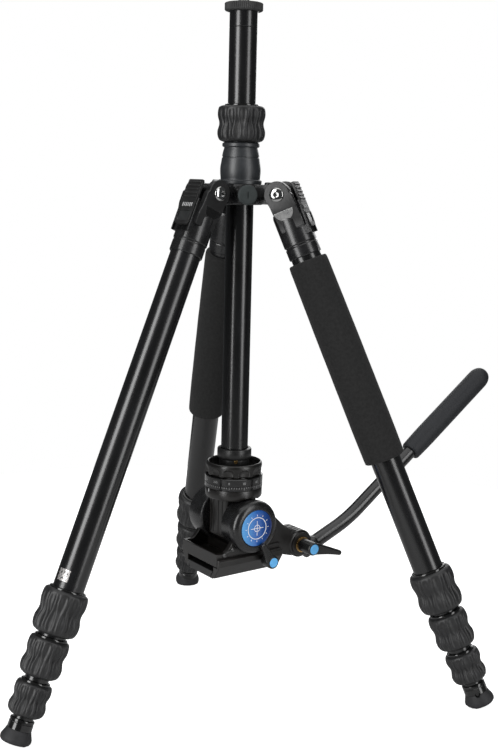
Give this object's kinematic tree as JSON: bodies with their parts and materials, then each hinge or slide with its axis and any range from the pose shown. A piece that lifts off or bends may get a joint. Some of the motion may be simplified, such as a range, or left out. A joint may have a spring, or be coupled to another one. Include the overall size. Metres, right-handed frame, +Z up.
{
  "type": "camera tripod",
  "caption": "Travel camera tripod on spread twist-lock legs, its centre column reversed so that a small fluid pan head with a long handle hangs between them.",
  "frame": {"origin": "on the floor, on the axis of the centre column", "axes": "+Z up along the centre column; -Y between the left and right legs; the rear leg points along +Y"},
  "size_m": [0.4748, 0.3538, 0.578],
  "materials": {
    "anodised_tube": "gloss black anodised",
    "badge_blue": "gloss printed",
    "black_casting": "satin black",
    "black_plastic": "satin",
    "brass": "polished",
    "chrome": "polished",
    "disc_black": "satin, knurled",
    "foam": "closed-cell foam, matte",
    "foot_rubber": "matte",
    "grey_rubber": "matte",
    "grip_rubber": "matte",
    "head_black": "satin",
    "head_gloss": "semi-gloss",
    "lever_black": "satin",
    "lock_rubber": "matte ribbed",
    "satin_collar": "satin",
    "steel": "brushed"
  },
  "bodies": {
    "mount": {"apex": "black_casting", "port_cap": "grey_rubber", "hinge_bolts": "chrome", "column_collar": "satin_collar"},
    "column_lock": {"column_lock": "lock_rubber"},
    "column": {"centre_column": "anodised_tube", "top_disc": "disc_black", "top_stud": "steel", "column_foot": "black_casting", "head_base_ring": "head_black", "scale_ring": "head_gloss"},
    "pan": {"pan_housing": "head_black"},
    "pan_lock": {"pan_lock": "lever_black"},
    "tilt": {"tilt_body": "head_gloss", "tilt_shaft": "steel", "badge": "badge_blue", "tray_screws": "steel"},
    "tilt_lock": {"tilt_lock": "lever_black"},
    "jaw": {"clamp_jaw": "head_gloss"},
    "clamp_lever": {"clamp_lever": "lever_black"},
    "plate": {"release_plate": "head_black"},
    "camera_screw": {"camera_screw": "steel"},
    "handle": {"handle_hub": "head_gloss", "handle_tube": "anodised_tube", "handle_grip": "grip_rubber", "handle_washer": "brass"},
    "handle_lever": {"handle_lever": "lever_black"},
    "left_leg": {"left_shoulder": "black_casting", "left_tube_1": "anodised_tube"},
    "left_tab": {"left_angle_tab": "black_plastic"},
    "left_lock_1": {"left_lock_1": "lock_rubber"},
    "left_lock_2": {"left_lock_2": "lock_rubber"},
    "left_lock_3": {"left_lock_3": "lock_rubber"},
    "left_stage_2": {"left_tube_2": "anodised_tube"},
    "left_stage_3": {"left_tube_3": "anodised_tube"},
    "left_stage_4": {"left_tube_4": "anodised_tube", "left_foot": "foot_rubber"},
    "right_leg": {"right_shoulder": "black_casting", "right_tube_1": "anodised_tube", "right_foam": "foam"},
    "right_tab": {"right_angle_tab": "black_plastic"},
    "right_lock_1": {"right_lock_1": "lock_rubber"},
    "right_lock_2": {"right_lock_2": "lock_rubber"},
    "right_lock_3": {"right_lock_3": "lock_rubber"},
    "right_stage_2": {"right_tube_2": "anodised_tube"},
    "right_stage_3": {"right_tube_3": "anodised_tube"},
    "right_stage_4": {"right_tube_4": "anodised_tube", "right_foot": "foot_rubber"},
    "rear_leg": {"rear_shoulder": "black_casting", "rear_tube_1": "anodised_tube", "rear_foam": "foam"},
    "rear_tab": {"rear_angle_tab": "black_plastic"},
    "rear_lock_1": {"rear_lock_1": "lock_rubber"},
    "rear_lock_2": {"rear_lock_2": "lock_rubber"},
    "rear_lock_3": {"rear_lock_3": "lock_rubber"},
    "rear_stage_2": {"rear_tube_2": "anodised_tube"},
    "rear_stage_3": {"rear_tube_3": "anodised_tube"},
    "rear_stage_4": {"rear_tube_4": "anodised_tube", "rear_foot": "foot_rubber"}
  },
  "joints": [
    {"name": "left_leg_swing", "type": "hinge", "parent": "mount", "child": "left_leg", "pos_m": [-0.03118, -0.018, 0.41658], "axis": [-0.5, 0.866, 0], "range_deg": [-12, 148]},
    {"name": "left_tab_slide", "type": "slide", "parent": "left_leg", "child": "left_tab", "axis": [-0.3522, -0.2034, -0.9135], "range_m": [-0.002, 0.019]},
    {"name": "left_lock_1_turn", "type": "hinge", "parent": "left_leg", "child": "left_lock_1", "pos_m": [-0.15446, -0.08918, 0.09684], "axis": [-0.3522, -0.2034, -0.9135], "range_deg": [0, 135]},
    {"name": "left_stage_2_slide", "type": "slide", "parent": "left_leg", "child": "left_stage_2", "axis": [-0.3522, -0.2034, -0.9135], "range_m": [0, 0.25]},
    {"name": "left_lock_2_turn", "type": "hinge", "parent": "left_stage_2", "child": "left_lock_2", "pos_m": [-0.16714, -0.0965, 0.06395], "axis": [-0.3522, -0.2034, -0.9135], "range_deg": [0, 135]},
    {"name": "left_stage_3_slide", "type": "slide", "parent": "left_stage_2", "child": "left_stage_3", "axis": [-0.3522, -0.2034, -0.9135], "range_m": [0, 0.25]},
    {"name": "left_lock_3_turn", "type": "hinge", "parent": "left_stage_3", "child": "left_lock_3", "pos_m": [-0.17912, -0.10342, 0.03289], "axis": [-0.3522, -0.2034, -0.9135], "range_deg": [0, 135]},
    {"name": "left_stage_4_slide", "type": "slide", "parent": "left_stage_3", "child": "left_stage_4", "axis": [-0.3522, -0.2034, -0.9135], "range_m": [0, 0.25]},
    {"name": "right_leg_swing", "type": "hinge", "parent": "mount", "child": "right_leg", "pos_m": [0.03118, -0.018, 0.41658], "axis": [-0.5, -0.866, 0], "range_deg": [-12, 148]},
    {"name": "right_tab_slide", "type": "slide", "parent": "right_leg", "child": "right_tab", "axis": [0.3522, -0.2034, -0.9135], "range_m": [-0.002, 0.019]},
    {"name": "right_lock_1_turn", "type": "hinge", "parent": "right_leg", "child": "right_lock_1", "pos_m": [0.15446, -0.08918, 0.09684], "axis": [0.3522, -0.2034, -0.9135], "range_deg": [0, 135]},
    {"name": "right_stage_2_slide", "type": "slide", "parent": "right_leg", "child": "right_stage_2", "axis": [0.3522, -0.2034, -0.9135], "range_m": [0, 0.25]},
    {"name": "right_lock_2_turn", "type": "hinge", "parent": "right_stage_2", "child": "right_lock_2", "pos_m": [0.16714, -0.0965, 0.06395], "axis": [0.3522, -0.2034, -0.9135], "range_deg": [0, 135]},
    {"name": "right_stage_3_slide", "type": "slide", "parent": "right_stage_2", "child": "right_stage_3", "axis": [0.3522, -0.2034, -0.9135], "range_m": [0, 0.25]},
    {"name": "right_lock_3_turn", "type": "hinge", "parent": "right_stage_3", "child": "right_lock_3", "pos_m": [0.17912, -0.10342, 0.03289], "axis": [0.3522, -0.2034, -0.9135], "range_deg": [0, 135]},
    {"name": "right_stage_4_slide", "type": "slide", "parent": "right_stage_3", "child": "right_stage_4", "axis": [0.3522, -0.2034, -0.9135], "range_m": [0, 0.25]},
    {"name": "rear_leg_swing", "type": "hinge", "parent": "mount", "child": "rear_leg", "pos_m": [0, 0.036, 0.41658], "axis": [1, 0, 0], "range_deg": [-12, 148]},
    {"name": "rear_tab_slide", "type": "slide", "parent": "rear_leg", "child": "rear_tab", "axis": [0, 0.4067, -0.9135], "range_m": [-0.002, 0.019]},
    {"name": "rear_lock_1_turn", "type": "hinge", "parent": "rear_leg", "child": "rear_lock_1", "pos_m": [0, 0.17836, 0.09684], "axis": [0, 0.4067, -0.9135], "range_deg": [0, 135]},
    {"name": "rear_stage_2_slide", "type": "slide", "parent": "rear_leg", "child": "rear_stage_2", "axis": [0, 0.4067, -0.9135], "range_m": [0, 0.25]},
    {"name": "rear_lock_2_turn", "type": "hinge", "parent": "rear_stage_2", "child": "rear_lock_2", "pos_m": [0, 0.193, 0.06395], "axis": [0, 0.4067, -0.9135], "range_deg": [0, 135]},
    {"name": "rear_stage_3_slide", "type": "slide", "parent": "rear_stage_2", "child": "rear_stage_3", "axis": [0, 0.4067, -0.9135], "range_m": [0, 0.25]},
    {"name": "rear_lock_3_turn", "type": "hinge", "parent": "rear_stage_3", "child": "rear_lock_3", "pos_m": [0, 0.20683, 0.03289], "axis": [0, 0.4067, -0.9135], "range_deg": [0, 135]},
    {"name": "rear_stage_4_slide", "type": "slide", "parent": "rear_stage_3", "child": "rear_stage_4", "axis": [0, 0.4067, -0.9135], "range_m": [0, 0.25]},
    {"name": "column_slide", "type": "slide", "parent": "mount", "child": "column", "axis": [0, 0, 1], "range_m": [-0.07, 0.15]},
    {"name": "column_lock_turn", "type": "hinge", "parent": "mount", "child": "column_lock", "pos_m": [0, 0, 0.473], "axis": [0, 0, 1], "range_deg": [0, 135]},
    {"name": "pan", "type": "hinge", "parent": "column", "child": "pan", "pos_m": [0, 0, 0.165], "axis": [0, 0, 1], "range_deg": [-25, 60]},
    {"name": "pan_lock_turn", "type": "hinge", "parent": "pan", "child": "pan_lock", "pos_m": [0.00679, 0.03739, 0.1624], "axis": [0.1788, 0.9839, 0], "range_deg": [-35, 35]},
    {"name": "tilt", "type": "hinge", "parent": "pan", "child": "tilt", "pos_m": [0, 0, 0.1372], "axis": [0.3859, -0.9225, 0], "range_deg": [-40, 24]},
    {"name": "tilt_lock_turn", "type": "hinge", "parent": "tilt", "child": "tilt_lock", "pos_m": [-0.01737, 0.04151, 0.1372], "axis": [0.3859, -0.9225, 0], "range_deg": [-45, 60]},
    {"name": "clamp_lever_turn", "type": "hinge", "parent": "jaw", "child": "clamp_lever", "pos_m": [0.02771, -0.02635, 0.1052], "axis": [0.3859, -0.9225, 0], "range_deg": [0, 120]},
    {"name": "jaw_slide", "type": "slide", "parent": "tilt", "child": "jaw", "axis": [0.3859, -0.9225, 0], "range_m": [0, 0.0023]},
    {"name": "plate_slide", "type": "slide", "parent": "tilt", "child": "plate", "axis": [0.9225, 0.3859, 0], "range_m": [-0.03, 0.012]},
    {"name": "camera_screw_turn", "type": "hinge", "parent": "plate", "child": "camera_screw", "pos_m": [0, 0, 0.096], "axis": [0, 0, 1], "continuous": true},
    {"name": "handle_angle", "type": "hinge", "parent": "tilt", "child": "handle", "pos_m": [0.06038, 0.00466, 0.1105], "axis": [0.3859, -0.9225, 0], "range_deg": [-45, 15]},
    {"name": "handle_lever_turn", "type": "hinge", "parent": "handle", "child": "handle_lever", "pos_m": [0.06655, -0.0101, 0.1105], "axis": [0.3859, -0.9225, 0], "range_deg": [-40, 40]}
  ],
  "couplings": [
    {"joint": "left_tab_slide", "follows": "left_leg_swing", "m_per_rad": 0.0068},
    {"joint": "right_tab_slide", "follows": "right_leg_swing", "m_per_rad": 0.0068},
    {"joint": "rear_tab_slide", "follows": "rear_leg_swing", "m_per_rad": 0.0068},
    {"joint": "clamp_lever_turn", "follows": "jaw_slide", "rad_per_m": 909.1}
  ]
}
